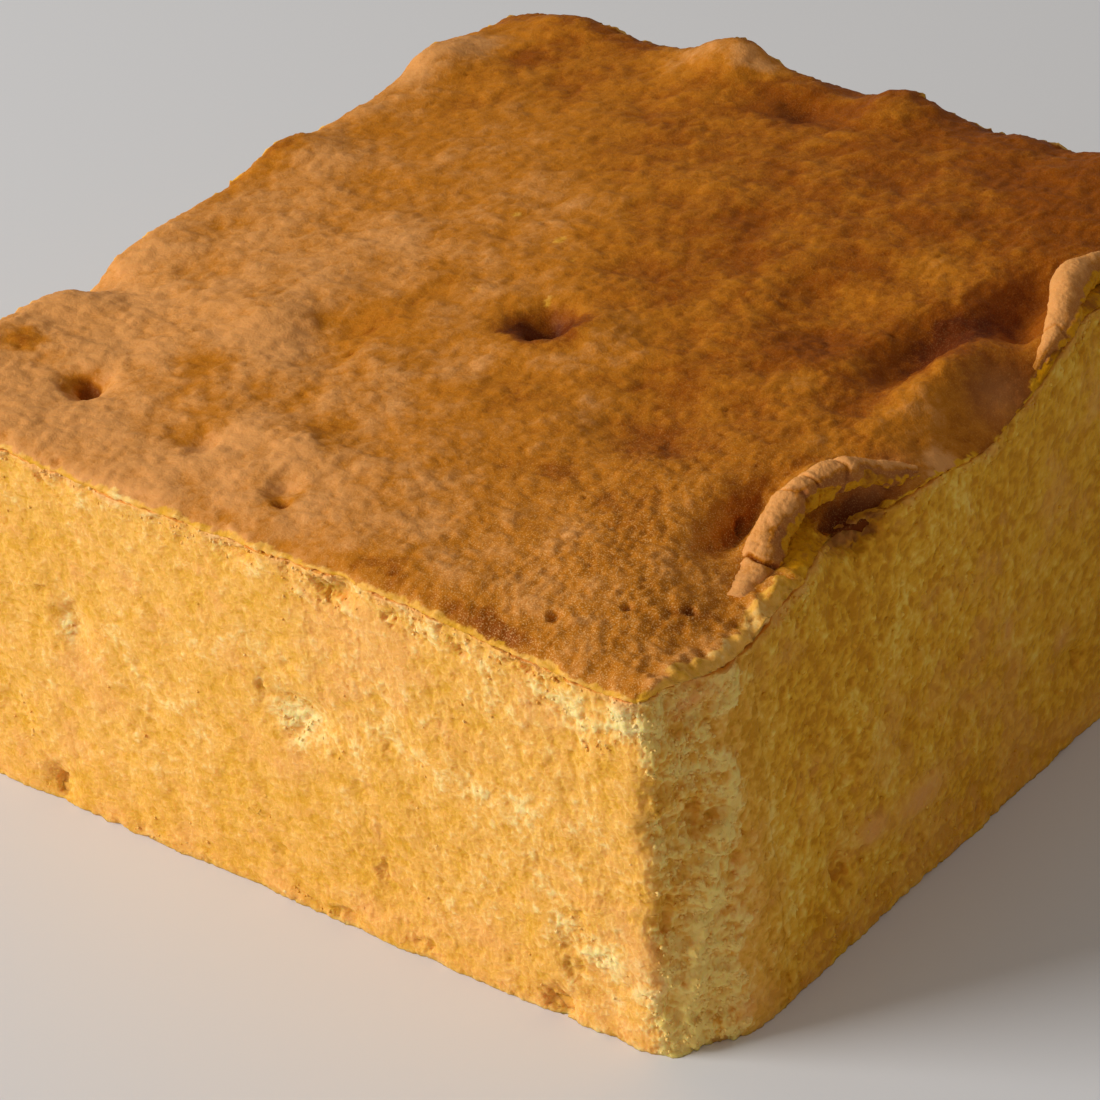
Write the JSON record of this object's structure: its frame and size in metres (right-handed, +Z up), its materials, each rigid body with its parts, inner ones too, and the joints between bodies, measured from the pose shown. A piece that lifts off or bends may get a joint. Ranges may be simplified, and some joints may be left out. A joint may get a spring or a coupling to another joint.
{
  "type": "butter cake",
  "caption": "Whole square butter cake out of its tin: browned dented top, rolled crust at one rim, soft open crumb sides and a torn upright corner.",
  "frame": {"origin": "middle of the bounding box on the flat bottom", "axes": "+Z up from the bottom to the browned top; +X out of the side whose rim has the rolled crust, -Y out of the side to its left when seen from the torn corner"},
  "size_m": [0.1508, 0.1506, 0.0736],
  "materials": {
    "cake": "matte baked crust over golden open crumb"
  },
  "bodies": {
    "root": {"butter_cake": "cake"}
  },
  "joints": []
}
